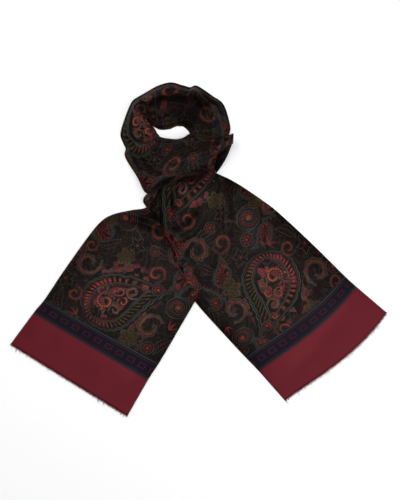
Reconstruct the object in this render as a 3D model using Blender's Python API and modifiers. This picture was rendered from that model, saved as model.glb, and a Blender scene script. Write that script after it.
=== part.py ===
"""A fringed silk scarf, wrapped once round an empty neck ring and laid flat.

Frame: metres, +Z up, the surface at z = 0, the origin under the middle of the laid scarf.
Tables are in millimetres. Each stretch that shows is its own solid:
left_tail and right_tail are walls of cloth, neck_back, neck_front and wrap_turn are the
gathered stretches, whose hidden layers share one rounded solid, and lip_fold is the rolled
edge beside the crossing. Each tail has its fringe on a strip of its own.
"""

import math
from collections import namedtuple

import bmesh
import bpy
import numpy as np

# Driving sizes, in millimetres.
MM = 0.001
MIDDLE_X, MIDDLE_Y = -0.42, -1.32
WALL = 1.5
GAP = 0.35
FRINGE_GAP = 0.45
ROOT_GAP = 0.8
FLAT_UNDER = 0.3
EDGE_SOFTNESS = 14.0
LAYERS = 3
EDGE_SHARE = 0.5
LAYER_NICK = 2.2
LAYER_STEP = 1.3
FRINGE_STRANDS = 88
STRIP_DEPTH = 1.1
STRIP_HEIGHT = 1.3
STRAND_WIDTH = 0.9
STRAND_LIFT = 0.25

TailRow = namedtuple("TailRow", "left_x left_y right_x right_y bow base over")
BandRow = namedtuple(
    "BandRow", "out_x out_y in_x in_y base_out base_in rim mid inner bow", defaults=(0,)
)
Fold = namedtuple("Fold", "from_x from_y to_x to_y bend width height")

SILK_COLOUR = (0.022, 0.016, 0.013)
BURGUNDY = (0.16, 0.012, 0.024)

# From the fringed end up to the crossing. "over" is the share of the width that lies on
# the layer below, counted from the left edge, and "base" how high that layer holds it.
# "bow" is how far a row's line swells towards the end, on tails and bands alike.
LEFT_TAIL = [
    TailRow(-387, -195, -147, -343, 1, 0, 0),
    TailRow(-339, -130, -104, -268, 1, 0, 0),
    TailRow(-316, -102, -80, -231, 0, 0, 0),
    TailRow(-280, -48, -42, -166, 0, 0, 0),
    TailRow(-231, 21, 0, -92, 0, 0, 0),
    TailRow(-202, 56, 14, -50, 0, 0, 0),
    TailRow(-177, 71, 0, -8, 0, 0, 0),
    TailRow(-138, 80, -30, 22, 0, 0, 0),
    TailRow(-112, 84, -52, 40, 0, 1.0, 1),
    TailRow(-95, 96, -63, 56, 0, 2.2, 1),
]
RIGHT_TAIL = [
    TailRow(176, -311, 385, -130, 72, 0, 0),
    TailRow(122, -250, 322, -76, 60, 0, 0),
    TailRow(95, -222, 298, -54, 54, 0, 0),
    TailRow(53, -177, 230, 13, 34, 0, 0),
    TailRow(-8, -108, 163, 75, 14, 2.0, 0.10),
    TailRow(-35, -60, 132, 99, 6, 2.0, 0.44),
    TailRow(-62, 0, 91, 127, 0, 2.6, 0.56),
    TailRow(-78, 41, 62, 144, 0, 5.6, 0.7),
    TailRow(-81, 80, 46, 151, 0, 5.9, 1),
    TailRow(-80, 115, 34, 158, 0, 5.9, 1.2),
    TailRow(-68, 150, 32, 175, 0, 5.9, 1.2),
]

# Round the neck: outer and inner edge, what carries them, and three heights across.
NECK_BACK = [
    BandRow(-141, 298, -93, 251, 0, 0, 16, 9, 5),
    BandRow(-133, 308, -86, 247, 0, 0, 17, 9, 5),
    BandRow(-111, 321, -80, 245, 0, 0, 18, 8, 5),
    BandRow(-84, 336, -70, 245, 0, 0, 18, 8, 5),
    BandRow(-58, 343, -58, 247, 0, 0, 18, 8, 5),
    BandRow(-34, 337, -47, 252, 0, 0, 17, 8, 5),
    BandRow(-18, 333, -40, 252, 0, 0, 18, 9, 6),
    BandRow(-4, 336, -33, 251, 0, 0, 18, 10, 7),
    BandRow(28, 315, -25, 245, 0, 0, 17, 13, 10),
    BandRow(50, 298, -21, 241, 0, 0, 15, 16, 12),
    BandRow(62, 264, -19, 233, 0, 0, 14, 16, 13),
    BandRow(64, 243, -22, 219, 2.5, 1.5, 13, 14, 12),
    BandRow(56, 221, -33, 199, 5.6, 5.6, 13, 13.8, 12.5),
    BandRow(43, 199, -49, 177, 5.9, 5.9, 13, 13.8, 12.5),
    BandRow(32, 175, -68, 150, 5.9, 5.9, 12, 13, 11),
]
NECK_FRONT = [
    BandRow(-141, 298, -93, 251, 0, 0, 16, 15, 11),
    BandRow(-153, 268, -90, 246, 0, 0, 15, 17, 13),
    BandRow(-162, 236, -88, 242, 0, 0, 14, 18, 14),
    BandRow(-156, 216, -86, 238, 0, 0, 14, 19, 15),
    BandRow(-151, 206, -84, 236, 0, 0, 14, 19, 15),
    BandRow(-153, 195, -82, 234, 1, 1, 15, 20, 16),
    BandRow(-148, 181, -79, 231, 2, 2, 16, 20, 17),
    BandRow(-127, 148, -71, 228, 8, 6, 19, 23, 20),
    BandRow(-107, 114, -58, 226, 14, 11, 22, 26, 22),
    BandRow(-74, 127, -43, 225, 14.6, 14.3, 24, 27.5, 24),
    BandRow(-39, 139, -30, 229, 14.6, 14.5, 25, 28, 24),
    BandRow(-4, 151, -20, 235, 14.6, 14.6, 25, 28, 23),
    BandRow(25, 164, 2, 237, 14.6, 15.5, 24, 27, 23),
    BandRow(32, 184, 27, 231, 14.6, 15.5, 22, 25, 22),
    BandRow(52, 203, 47, 229, 14.6, 15.5, 20, 22, 20),
    BandRow(70, 216, 71, 237, 12.5, 14.5, 16, 18, 17),
]
# The stretch that turns at the right and passes under the crossing to the left tail.
WRAP_TURN = [
    BandRow(70, 223, 36, 156, 0, 0, 3, 5, 3, 4),
    BandRow(66, 222, 34, 159, 0, 0, 8, 11, 7, 3),
    BandRow(60, 219, 31, 163, 0, 0, 8, 10, 7),
    BandRow(52, 213, 24, 166, 0, 0, 4.6, 5.0, 4.6),
    BandRow(35, 203, 12, 158, 0, 0, 4.8, 5.2, 4.8),
    BandRow(2, 185, -13, 130, 0, 0, 4.8, 5.2, 4.8),
    BandRow(-42, 158, -40, 92, 0, 0, 4.8, 5.2, 4.8),
    BandRow(-86, 122, -55, 68, 0, 0, 4.5, 5.0, 4.5),
    BandRow(-95, 96, -63, 56, 0, 0, 3.6, 4.6, 4.0),
]
# The upper edge that rolls out from under the front and runs down on to the left tail.
LIP = [
    BandRow(-100, 119, -86, 124, 5.7, 5.7, 9.5, 12.0, 11.5),
    BandRow(-108, 112, -85, 117, 5.7, 5.7, 9.5, 12.5, 11.5),
    BandRow(-114, 104, -87, 110, 5.7, 5.7, 9.5, 12.0, 10.0),
    BandRow(-114, 95, -92, 101, 5.7, 5.7, 9.5, 11.5, 9.0),
    BandRow(-108, 86, -93, 92, 4.2, 4.8, 9.0, 10.5, 9.0),
    BandRow(-101, 79, -89, 84, 3.3, 4.0, 7.4, 8.8, 7.4),
    BandRow(-94, 73, -87, 77, 3.5, 4.0, 6.0, 6.8, 6.0),
]

# The largest folds, where they lie in plan: ridges are positive, troughs negative.
LEFT_FOLDS = [
    Fold(-168, 72, -78, 50, 9, 7, 4.5),
    Fold(-190, 42, -92, 38, 14, 12, 2.6),
    Fold(-205, 30, -100, -10, 16, 20, 1.8),
    Fold(-150, -10, -70, 30, -8, 12, 1.6),
    Fold(-290, -90, -150, 20, 12, 30, 2.2),
    Fold(-250, -170, -110, -60, -14, 34, 2.0),
    Fold(-345, -190, -300, -120, 6, 22, 1.8),
    Fold(-230, -260, -190, -180, -6, 26, 2.0),
]
RIGHT_FOLDS = [
    Fold(-70, 140, -69, 34, -2, 9, 4.4),
    Fold(-42, 130, -36, 60, 6, 9, 2.4),
    Fold(-12, 140, -14, 74, -5, 11, 4.2),
    Fold(-8, 74, -58, 26, -12, 9, 3.0),
    Fold(20, 146, 34, 40, 4, 12, 3.4),
    Fold(60, 128, 54, 0, 3, 9, 3.2),
    Fold(34, 60, -30, -26, 10, 16, 2.4),
    Fold(80, 90, 150, 10, -10, 26, 2.0),
    Fold(70, -20, 190, -120, 14, 34, 2.2),
    Fold(150, 40, 270, -80, -12, 30, 2.0),
    Fold(30, -110, 130, -220, -12, 26, 1.8),
    Fold(250, -200, 300, -130, 8, 30, 2.2),
]
BACK_FOLDS = [
    Fold(-22, 334, 20, 254, -6, 7, 4.0),
    Fold(-118, 312, -40, 326, -8, 9, 2.0),
    Fold(-104, 282, -30, 288, 8, 12, 1.6),
    Fold(28, 300, 44, 232, 6, 10, 2.0),
]
FRONT_FOLDS = [
    Fold(-20, 234, 44, 222, 5, 6, 2.2),
    Fold(-140, 250, -60, 150, -18, 10, 1.6),
    Fold(-112, 250, -20, 190, -26, 11, 1.8),
    Fold(-80, 140, 20, 176, -6, 9, 1.6),
]


def smooth_rows(table, steps):
    """The table's columns, read along a smooth curve at "steps" places from row to row."""
    rows = np.array(table, float)
    padded = np.vstack([2 * rows[0] - rows[1], rows, 2 * rows[-1] - rows[-2]])
    found = []
    for step in range(steps + 1):
        reached = step / steps * (len(rows) - 1)
        row = min(int(reached), len(rows) - 2)
        t = reached - row
        before, start, end, after = padded[row : row + 4]
        found.append(
            0.5
            * (
                2 * start
                + (end - before) * t
                + (2 * before - 5 * start + 4 * end - after) * t**2
                + (3 * start - before - 3 * end + after) * t**3
            )
        )
    return [type(table[0])(*values) for values in found]


def eased(value):
    t = min(max(value, 0.0), 1.0)
    return t * t * (3 - 2 * t)


def fold_height(folds, x, y):
    """How far the folds raise the cloth at a point of the plan."""
    total = 0.0
    for fold in folds:
        along_x, along_y = fold.to_x - fold.from_x, fold.to_y - fold.from_y
        length = math.hypot(along_x, along_y)
        along_x, along_y = along_x / length, along_y / length
        off_x, off_y = x - fold.from_x, y - fold.from_y
        run = off_x * along_x + off_y * along_y
        t = min(max(run / length, 0.0), 1.0)
        side = off_y * along_x - off_x * along_y - fold.bend * 4 * t * (1 - t)
        past = run - t * length
        taper = math.sin(math.pi * (0.12 + 0.76 * t))
        total += fold.height * taper * math.exp(-(side**2 + past**2) / fold.width**2)
    return total


def place(x, y, z):
    return ((x - MIDDLE_X) * MM, (y - MIDDLE_Y) * MM, z * MM)


def finish(name, mesh, colour, roughness, collection):
    material = bpy.data.materials.new(name)
    material.use_nodes = True
    shader = material.node_tree.nodes["Principled BSDF"]
    shader.inputs["Base Color"].default_value = (*colour, 1)
    shader.inputs["Roughness"].default_value = roughness
    mesh.materials.append(material)
    mesh.shade_smooth()
    made = bpy.data.objects.new(name, mesh)
    collection.objects.link(made)
    return made


def tail_point(row, v):
    """Plan place of the tail's point at v across, bowed outwards past the middle."""
    x = row.left_x + (row.right_x - row.left_x) * v
    y = row.left_y + (row.right_y - row.left_y) * v
    width = math.hypot(row.right_x - row.left_x, row.right_y - row.left_y)
    bow = row.bow * v**1.5 * (1 - v)
    x += bow * (row.right_y - row.left_y) / width
    y -= bow * (row.right_x - row.left_x) / width
    return x, y


def tail_height(row, v, folds, x, y, run):
    """Top of the wall: on its base, raised by folds that die out at the end and the edges."""
    width = math.hypot(row.right_x - row.left_x, row.right_y - row.left_y)
    base = row.base * eased(1 + (row.over - v) * width / EDGE_SOFTNESS / 2)
    calm = eased(run / 0.12) * eased(v * width / 10 + 0.3) * eased((1 - v) * width / 10 + 0.3)
    return base + WALL + max(fold_height(folds, x, y) - FLAT_UNDER, 0.0) * calm


def make_tail(name, table, folds, across, along, colour, collection):
    """The open sheet, row by row, thickened downwards so that it lies flat below."""
    rows = smooth_rows(table, along)
    sheet = bmesh.new()
    grid = []
    for index, row in enumerate(rows):
        line = []
        for step in range(across + 1):
            v = step / across
            x, y = tail_point(row, v)
            z = tail_height(row, v, folds, x, y, index / along)
            line.append(sheet.verts.new(place(x, y, z)))
        grid.append(line)
    for lower, upper in zip(grid, grid[1:]):
        for i in range(across):
            sheet.faces.new((lower[i], lower[i + 1], upper[i + 1], upper[i]))
    bmesh.ops.recalc_face_normals(sheet, faces=sheet.faces)
    if sum(face.normal.z for face in sheet.faces) < 0:
        bmesh.ops.reverse_faces(sheet, faces=sheet.faces)
    mesh = bpy.data.meshes.new(name)
    sheet.to_mesh(mesh)
    sheet.free()
    made = finish(name, mesh, colour, 0.42, collection)
    wall = made.modifiers.new("wall", "SOLIDIFY")
    wall.thickness = WALL * MM
    wall.offset = -1
    return made


def band_heights(row, t):
    """Height over the band at t across, through its rim, middle and inner heights."""
    edge_out = row.base_out + (row.rim - row.base_out) * EDGE_SHARE
    edge_in = row.base_in + (row.inner - row.base_in) * EDGE_SHARE
    known_t = (0.0, 0.16, 0.5, 0.84, 1.0)
    known_z = (edge_out, row.rim, row.mid, row.inner, edge_in)
    for i in range(4):
        if t <= known_t[i + 1]:
            share = (t - known_t[i]) / (known_t[i + 1] - known_t[i])
            if i == 0:
                share = math.sin(share * math.pi / 2)
            elif i == 3:
                share = 1 - math.cos(share * math.pi / 2)
            else:
                share = eased(share)
            return known_z[i] + (known_z[i + 1] - known_z[i]) * share
    return edge_in


def band_section(row, folds, across):
    """One closed ring: flat below, stacked layer edges at both sides, folds on top."""
    width = math.hypot(row.in_x - row.out_x, row.in_y - row.out_y)
    row = row._replace(base_out=max(row.base_out, 0.0), base_in=max(row.base_in, 0.0))

    def at(t, z):
        bow = row.bow * 4 * t * (1 - t) / width
        x = row.out_x + (row.in_x - row.out_x) * t - (row.in_y - row.out_y) * bow
        y = row.out_y + (row.in_y - row.out_y) * t + (row.in_x - row.out_x) * bow
        return x, y, z

    nick = min(LAYER_NICK / width, 0.06)
    step_in = min(LAYER_STEP / width, 0.04)
    slope = row.base_in - row.base_out
    ring = [at(t, row.base_out + slope * t) for t in (0.04, 0.35, 0.65, 0.96)]
    edge_in = band_heights(row, 1.0)
    edge_out = band_heights(row, 0.0)
    for layer in range(LAYERS):
        low = row.base_in + (edge_in - row.base_in) * (layer + 0.5) / LAYERS
        top = row.base_in + (edge_in - row.base_in) * (layer + 1) / LAYERS
        ring.append(at(1 - step_in * layer, low))
        if layer < LAYERS - 1:
            ring.append(at(1 - step_in * layer - nick, top))
    inset = step_in * (LAYERS - 1)
    for step in range(across + 1):
        t = 1 - step / across
        z = band_heights(row, t)
        x, y, _ = at(t, z)
        lifted = fold_height(folds, x, y) * math.sin(math.pi * t) ** 0.5 if 0 < t < 1 else 0
        ring.append(at(inset + (1 - 2 * inset) * t, z + max(lifted, -1.5)))
    for layer in reversed(range(LAYERS)):
        low = row.base_out + (edge_out - row.base_out) * (layer + 0.5) / LAYERS
        top = row.base_out + (edge_out - row.base_out) * (layer + 1) / LAYERS
        if layer < LAYERS - 1:
            ring.append(at(step_in * layer + nick, top))
        ring.append(at(step_in * layer, low))
    return ring


def make_band(name, table, folds, across, along, gaps, colour, collection):
    """Loft through the rings, each end drawn back by its gap and closed flat."""
    rows = smooth_rows(table, along)
    loft = bmesh.new()
    rings = []
    for index, row in enumerate(rows):
        shift = (0.0, 0.0)
        if index == 0:
            shift = towards(row, rows[1], gaps[0])
        elif index == along:
            shift = towards(row, rows[-2], gaps[1])
        ring = [
            loft.verts.new(place(x + shift[0], y + shift[1], z))
            for x, y, z in band_section(row, folds, across)
        ]
        rings.append(ring)
    count = len(rings[0])
    for ring, following in zip(rings, rings[1:]):
        for i in range(count):
            j = (i + 1) % count
            loft.faces.new((ring[i], ring[j], following[j], following[i]))
    loft.faces.new(rings[0])
    loft.faces.new(rings[-1])
    bmesh.ops.recalc_face_normals(loft, faces=loft.faces)
    mesh = bpy.data.meshes.new(name)
    loft.to_mesh(mesh)
    loft.free()
    return finish(name, mesh, colour, 0.42, collection)


def towards(row, next_row, gap):
    """The step of "gap" from one band row towards the next, square to the row's line."""
    line_x, line_y = row.in_x - row.out_x, row.in_y - row.out_y
    length = math.hypot(line_x, line_y)
    step_x, step_y = -line_y / length * gap, line_x / length * gap
    mid_x = (next_row.in_x + next_row.out_x - row.in_x - row.out_x) / 2
    mid_y = (next_row.in_y + next_row.out_y - row.in_y - row.out_y) / 2
    if step_x * mid_x + step_y * mid_y < 0:
        return -step_x, -step_y
    return step_x, step_y


def strand_length(index):
    """Clipped ends, 2 to 3.4 mm, with a longer thread here and there."""
    uneven = math.sin(index * 2.399) + 0.6 * math.sin(index * 5.13 + 1)
    if index % 29 == 11:
        return 6.5 + uneven
    return 2.7 + 0.42 * uneven


def make_fringe(name, table, colour, collection):
    """A narrow strip along the cut end, with a four-sided thread drawn out of every cell."""
    row = table[0]
    chord = (row.right_x - row.left_x, row.right_y - row.left_y)
    length = math.hypot(*chord)
    out = (chord[1] / length, -chord[0] / length)
    cells = FRINGE_STRANDS * 2 + 1
    half_strand = STRAND_WIDTH / 2 / length
    stops = [0.002]
    for strand in range(FRINGE_STRANDS):
        middle = 0.004 + (strand + 0.5) / FRINGE_STRANDS * 0.992
        stops += [middle - half_strand, middle + half_strand]
    stops.append(0.998)
    strip = bmesh.new()
    corners = []
    for v in stops:
        x, y = tail_point(row, v)
        near = (x + out[0] * FRINGE_GAP, y + out[1] * FRINGE_GAP)
        far = (near[0] + out[0] * STRIP_DEPTH, near[1] + out[1] * STRIP_DEPTH)
        corners.append(
            [
                strip.verts.new(place(*near, 0)),
                strip.verts.new(place(*far, 0)),
                strip.verts.new(place(*far, STRIP_HEIGHT)),
                strip.verts.new(place(*near, STRIP_HEIGHT)),
            ]
        )
    for cell in range(cells):
        first, second = corners[cell], corners[cell + 1]
        for side in (0, 2, 3):
            other = (side + 1) % 4
            strip.faces.new((first[side], first[other], second[other], second[side]))
        if cell % 2 == 0:
            strip.faces.new((first[1], first[2], second[2], second[1]))
            continue
        strand = cell // 2
        v = (stops[cell] + stops[cell + 1]) / 2
        x, y = tail_point(row, v)
        reach = FRINGE_GAP + STRIP_DEPTH + strand_length(strand)
        lean = 0.7 * math.sin(strand * 1.7)
        tip_x = x + out[0] * reach + chord[0] / length * lean
        tip_y = y + out[1] * reach + chord[1] / length * lean
        tip = strip.verts.new(place(tip_x, tip_y, STRAND_LIFT))
        root = (first[1], first[2], second[2], second[1])
        for side in range(4):
            strip.faces.new((root[side], root[(side + 1) % 4], tip))
    strip.faces.new(corners[0])
    strip.faces.new(corners[-1])
    bmesh.ops.recalc_face_normals(strip, faces=strip.faces)
    mesh = bpy.data.meshes.new(name)
    strip.to_mesh(mesh)
    strip.free()
    return finish(name, mesh, colour, 0.6, collection)


def build_scarf():
    for old in list(bpy.data.objects):
        bpy.data.objects.remove(old)
    scarf = bpy.data.collections.new("silk_scarf")
    bpy.context.scene.collection.children.link(scarf)
    make_tail("left_tail", LEFT_TAIL, LEFT_FOLDS, 20, 27, SILK_COLOUR, scarf)
    make_tail("right_tail", RIGHT_TAIL, RIGHT_FOLDS, 22, 30, SILK_COLOUR, scarf)
    make_band("neck_back", NECK_BACK, BACK_FOLDS, 11, 32, (0.0, GAP), SILK_COLOUR, scarf)
    make_band("neck_front", NECK_FRONT, FRONT_FOLDS, 11, 36, (GAP, 0.0), SILK_COLOUR, scarf)
    make_band("wrap_turn", WRAP_TURN, [], 7, 20, (0.0, ROOT_GAP), SILK_COLOUR, scarf)
    make_band("lip_fold", LIP, [], 7, 14, (0.0, 0.0), SILK_COLOUR, scarf)
    make_fringe("fringe_left", LEFT_TAIL, BURGUNDY, scarf)
    make_fringe("fringe_right", RIGHT_TAIL, BURGUNDY, scarf)


build_scarf()
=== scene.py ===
"""The looks of a silk scarf that is wrapped once round an empty neck ring and laid flat."""

import math
from collections import namedtuple
from functools import reduce

import bmesh
import bpy
import numpy as np
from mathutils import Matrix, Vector


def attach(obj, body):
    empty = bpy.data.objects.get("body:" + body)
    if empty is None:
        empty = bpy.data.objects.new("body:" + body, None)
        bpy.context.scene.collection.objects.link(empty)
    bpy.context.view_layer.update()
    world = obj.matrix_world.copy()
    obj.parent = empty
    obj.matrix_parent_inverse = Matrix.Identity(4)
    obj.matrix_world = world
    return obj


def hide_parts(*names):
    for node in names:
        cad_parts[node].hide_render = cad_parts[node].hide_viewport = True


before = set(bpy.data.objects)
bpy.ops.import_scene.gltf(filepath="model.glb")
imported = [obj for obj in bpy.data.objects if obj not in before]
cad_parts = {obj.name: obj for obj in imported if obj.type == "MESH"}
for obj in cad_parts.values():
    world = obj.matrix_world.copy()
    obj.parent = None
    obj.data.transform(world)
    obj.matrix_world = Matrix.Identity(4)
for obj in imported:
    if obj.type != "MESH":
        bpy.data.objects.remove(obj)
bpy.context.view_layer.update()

# ---- The table, the light and the camera --------------------------------------------------
# The scarf lies on a plain pale table and is looked at from straight above through a long
# lens. Two broad soft boxes and a pale room light it; the upper left one is the stronger.
MM = 0.001
TABLE_SIDE = 16.0
TABLE_COLOUR = (0.93, 0.93, 0.93)
EYE_HEIGHT = 3.0
EYE_X, EYE_Y = 2.5 * MM, -0.7 * MM
PICTURE_WIDTH = 822.4 * MM
SENSOR = 36.0
ROOM_LIGHT = 0.16
SoftBox = namedtuple("SoftBox", "name x y z side watts")
SOFT_BOXES = (
    SoftBox("soft_box_overhead", 0.12, -0.1, 2.7, 0.6, 30),
    SoftBox("soft_box_upper_left", -1.7, 1.8, 1.6, 2.4, 61),
    SoftBox("soft_box_right", 2.1, -0.6, 1.6, 2.4, 41),
)


def plain_material(name, colour, roughness):
    made = bpy.data.materials.new(name)
    made.use_nodes = True
    shader = made.node_tree.nodes["Principled BSDF"]
    shader.inputs["Base Color"].default_value = (*colour, 1)
    shader.inputs["Roughness"].default_value = roughness
    return made


bpy.ops.mesh.primitive_plane_add(size=TABLE_SIDE, location=(0, 0, -0.0004))
table = bpy.context.object
table.name = "table_top"
table.data.materials.append(plain_material("pale_table", TABLE_COLOUR, 0.9))

for box in SOFT_BOXES:
    data = bpy.data.lights.new(box.name, "AREA")
    data.size = box.side
    data.energy = box.watts
    light = bpy.data.objects.new(box.name, data)
    light.location = (box.x, box.y, box.z)
    light.rotation_euler = (-Vector(light.location)).to_track_quat("-Z", "Y").to_euler()
    bpy.context.scene.collection.objects.link(light)

room = bpy.data.worlds.new("pale_room")
room.use_nodes = True
room.node_tree.nodes["Background"].inputs["Color"].default_value = (1, 1, 1, 1)
room.node_tree.nodes["Background"].inputs["Strength"].default_value = ROOM_LIGHT
bpy.context.scene.world = room
bpy.context.scene.view_settings.view_transform = "Standard"

lens = bpy.data.cameras.new("camera")
lens.sensor_fit = "HORIZONTAL"
lens.sensor_width = SENSOR
lens.lens = SENSOR * EYE_HEIGHT / PICTURE_WIDTH
camera = bpy.data.objects.new("camera", lens)
camera.location = (EYE_X, EYE_Y, EYE_HEIGHT)
bpy.context.scene.collection.objects.link(camera)
bpy.context.scene.camera = camera

# ---- The printed silk ---------------------------------------------------------------------
# One oblong of fine silk twill, 280 x 1600 mm: paisley drops, hooks, rosettes and leaves on a
# near-black ground, a narrow dotted guard band and a plain burgundy end. "cloth" is each
# point's place on it, in metres: across it, and along it from the left tail's end.
CLOTH_WIDTH = 0.28
CLOTH_LENGTH = 1.60
BURGUNDY_DEPTH = 0.0815
GUARD_DEPTH = 0.0385
SEAM_BLUR = 0.0006
REPEAT_LENGTH = 0.30
GROUND = (0.0043, 0.0027, 0.0024)
# Painted shade: the near-black that creases, hollows and the ring's inside are mixed towards.
PAINTED_SHADE_COLOUR = (0.0024, 0.0015, 0.0015)
BURGUNDY = (0.098, 0.0098, 0.0155)
GUARD = (0.0062, 0.0040, 0.0085)
BRICK = (0.086, 0.0140, 0.0125)
CRIMSON = (0.090, 0.0120, 0.0200)
FLAME = (0.210, 0.0460, 0.0130)
GOLD = (0.075, 0.052, 0.0150)
TEAL = (0.0480, 0.0590, 0.0500)
NAVY = (0.0090, 0.0105, 0.0230)
TURN = 2 * math.pi
Motif = namedtuple("Motif", "x y size turn flip")

# Where each motif sits on one repeat, in millimetres and degrees; -1 mirrors it.
MOTIFS = {
    "stem": (
        Motif(40, 96, 64, 62, 1), Motif(232, 108, 58, 206, 1), Motif(222, 268, 46, 150, 1),
        Motif(96, 60, 40, 20, -1),
    ),
    "leaf": (
        Motif(30, 142, 26, 24, 1), Motif(262, 156, 24, -28, 1), Motif(168, 22, 24, 84, 1),
        Motif(62, 292, 24, 128, 1), Motif(210, 76, 22, 30, -1),
    ),
    "star": (
        Motif(248, 30, 30, 12, 1), Motif(22, 190, 24, 48, 1), Motif(138, 108, 22, 30, 1),
        Motif(112, 14, 22, 70, 1),
    ),
    "drop": (
        Motif(228, 290, 40, 160, -1), Motif(22, 22, 42, 52, 1), Motif(184, 104, 34, 118, -1),
        Motif(76, 116, 32, -60, 1),
    ),
    "whorl": (
        Motif(74, 60, 27, 20, 1), Motif(250, 236, 24, 190, 1),
    ),
    "medallion": (
        Motif(138, 208, 84, -28, 1),
    ),
    "plume": (
        Motif(222, 176, 27, 60, -1), Motif(44, 240, 27, 200, 1), Motif(20, 74, 24, -60, 1),
        Motif(200, 38, 26, 120, 1), Motif(156, 224, 14, 130, 1), Motif(142, 176, 12, 20, 1),
        Motif(98, 202, 12, 250, 1),
    ),
    "hook": (
        Motif(116, 184, 21, 140, -1), Motif(148, 198, 13, 20, 1), Motif(132, 214, 12, 250, -1),
        Motif(172, 244, 8, 60, 1), Motif(256, 78, 20, -30, 1), Motif(150, 60, 22, 70, -1),
        Motif(54, 168, 17, 210, 1), Motif(176, 280, 20, 20, -1), Motif(30, 276, 15, 190, 1),
    ),
    "posy": (
        Motif(196, 140, 21, 15, 1), Motif(104, 284, 20, 40, 1), Motif(44, 44, 16, 70, 1),
    ),
    "sprig": (
        Motif(70, 136, 15, 60, 1), Motif(262, 200, 15, -20, 1), Motif(212, 10, 14, 190, 1),
        Motif(12, 222, 14, 250, 1), Motif(118, 210, 8, 100, 1), Motif(120, 162, 9, 220, 1),
    ),
    "rosette": (
        Motif(104, 92, 13, 0, 1), Motif(14, 256, 12, 0, 1), Motif(240, 138, 12, 0, 1),
        Motif(196, 252, 11, 0, 1), Motif(268, 268, 10, 0, 1), Motif(150, 20, 10, 0, 1),
    ),
}
# The print is rich about these places, and quiet between them.
RICH_SPOTS = (
    Motif(136, 206, 78, 0, 1),
    Motif(276, 58, 46, 0, 1),
)
MOTIF_REACH = 1.25
FAR_OFF = (9, 9, 0)
# How far apart what grows over the ground lies, in metres.
LACE_PITCH, CRACK_PITCH, SEED_PITCH, FIELD_PITCH = 0.0032, 0.0060, 0.0036, 0.013
FADE_PITCH, DYE_PITCH, VINE_PITCH = 0.022, 0.034, 0.055
HAND_PITCH, HAND_SHIFT = 0.016, 0.0055


class Worked:
    """A number that a node tree works out at each point, written as ordinary arithmetic."""

    tree = None

    def __init__(self, socket):
        self.socket = socket

    def __add__(self, other):
        return worked("ADD", self, other)

    def __sub__(self, other):
        return worked("SUBTRACT", self, other)

    def __rsub__(self, other):
        return worked("SUBTRACT", other, self)

    def __mul__(self, other):
        return worked("MULTIPLY", self, other)

    def __truediv__(self, other):
        return worked("DIVIDE", self, other)

    def __rtruediv__(self, other):
        return worked("DIVIDE", other, self)

    def __abs__(self):
        return worked("ABSOLUTE", self)

    __radd__ = __add__
    __rmul__ = __mul__


def feed(socket, value):
    if isinstance(value, Worked):
        value = value.socket
    if isinstance(value, bpy.types.NodeSocket):
        Worked.tree.links.new(value, socket)
    else:
        socket.default_value = value


def add_node(kind, values, **settings):
    """One more node in the tree at hand, fed with numbers, colours or other nodes' outputs."""
    node = Worked.tree.nodes.new(kind)
    for name, value in settings.items():
        setattr(node, name, value)
    for socket, value in values.items():
        feed(node.inputs[socket], value)
    return node.outputs


def worked(operation, first, second=0.0, third=0.0, clamp=False):
    values = {0: first, 1: second, 2: third}
    return Worked(add_node("ShaderNodeMath", values, operation=operation, use_clamp=clamp)[0])


def distance(x, y):
    return worked("SQRT", worked("MULTIPLY_ADD", x, x, y * y))


def polar(x, y):
    return distance(x, y), worked("ARCTAN2", y, x)


def most(first, second):
    return worked("MAXIMUM", first, second)


def least(first, second):
    return worked("MINIMUM", first, second)


def part_of(value):
    """The part of a number past its whole number, less a half: from -0.5 to 0.5."""
    return worked("FRACT", value) - 0.5


def inked(gap, reach, soft=0.035):
    """1 where gap is less than reach, 0 past it, and soft between."""
    return worked("MULTIPLY_ADD", gap, -1 / soft, (reach * (1 / soft)) + 0.5, clamp=True)


def coil(x, y, pitch, first, last):
    """An even spiral's run, the share of it, the gap to its line, and where it has any."""
    radius, angle = polar(x, y)
    turns = worked("ROUND", radius / pitch - angle / TURN)
    run = angle + turns * TURN
    share = (run - first * TURN) / ((last - first) * TURN)
    return run, share, radius - run * (pitch / TURN), worked("COMPARE", share, 0.5, 0.5)


def hook_masks(x, y):
    """A beaded hook: a coil that swells in its middle, with a row of bright beads along it."""
    run, share, aside, inside = coil(x, y, 0.56, 0.5, 1.75)
    swell = worked("SINE", worked("POWER", most(share, 0.0), 0.8) * math.pi) * 0.10 + 0.03
    bead = distance(part_of(run * (9 / math.pi)) * (run * 0.030), aside)
    gap = abs(aside)
    return {
        "cover": inked(gap, swell + 0.1) * inside,
        "brick": inked(gap, swell, 0.05) * inside,
        "flame": inked(bead, swell * 0.62, 0.05) * inside,
        "teal": inked(abs(gap - swell - 0.065), 0.018) * inside * 0.7,
    }


def plume_masks(x, y):
    """A curled leaf: a coil whose outer side is cut into teeth, red inside a fine line."""
    run, share, aside, inside = coil(x, y, 0.62, 0.45, 1.55)
    teeth = abs(part_of(run * (4.5 / math.pi))) * 0.16
    swell = worked("SINE", share * math.pi) * 0.10 + 0.03 + teeth
    gap = worked("MULTIPLY_ADD", aside, -0.25, abs(aside))
    return {
        "cover": inked(gap, swell + 0.06) * inside,
        "brick": inked(gap, swell - 0.05, 0.05) * inside,
        "gold": inked(gap, swell * 0.34, 0.05) * inside,
        "teal": inked(abs(gap - swell), 0.022) * inside,
    }


def whorl_masks(x, y):
    """A round whorl: two fine lines that wind in together, with a red comma between them."""
    radius, angle = polar(x, y)
    arm = abs(part_of(radius / 0.6 - angle / TURN + 0.5))
    disc = inked(radius, 0.95)
    comma = inked(arm, worked("SINE", worked("MULTIPLY_ADD", radius, 3.2, 0.4)) * 0.14 + 0.05)
    return {
        "cover": inked(radius, 1.0),
        "teal": most(inked(abs(arm - 0.33), 0.035, 0.05) * disc, inked(abs(radius - 0.98), 0.022)),
        "brick": comma * disc,
        "flame": inked(radius, 0.2),
    }


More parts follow.
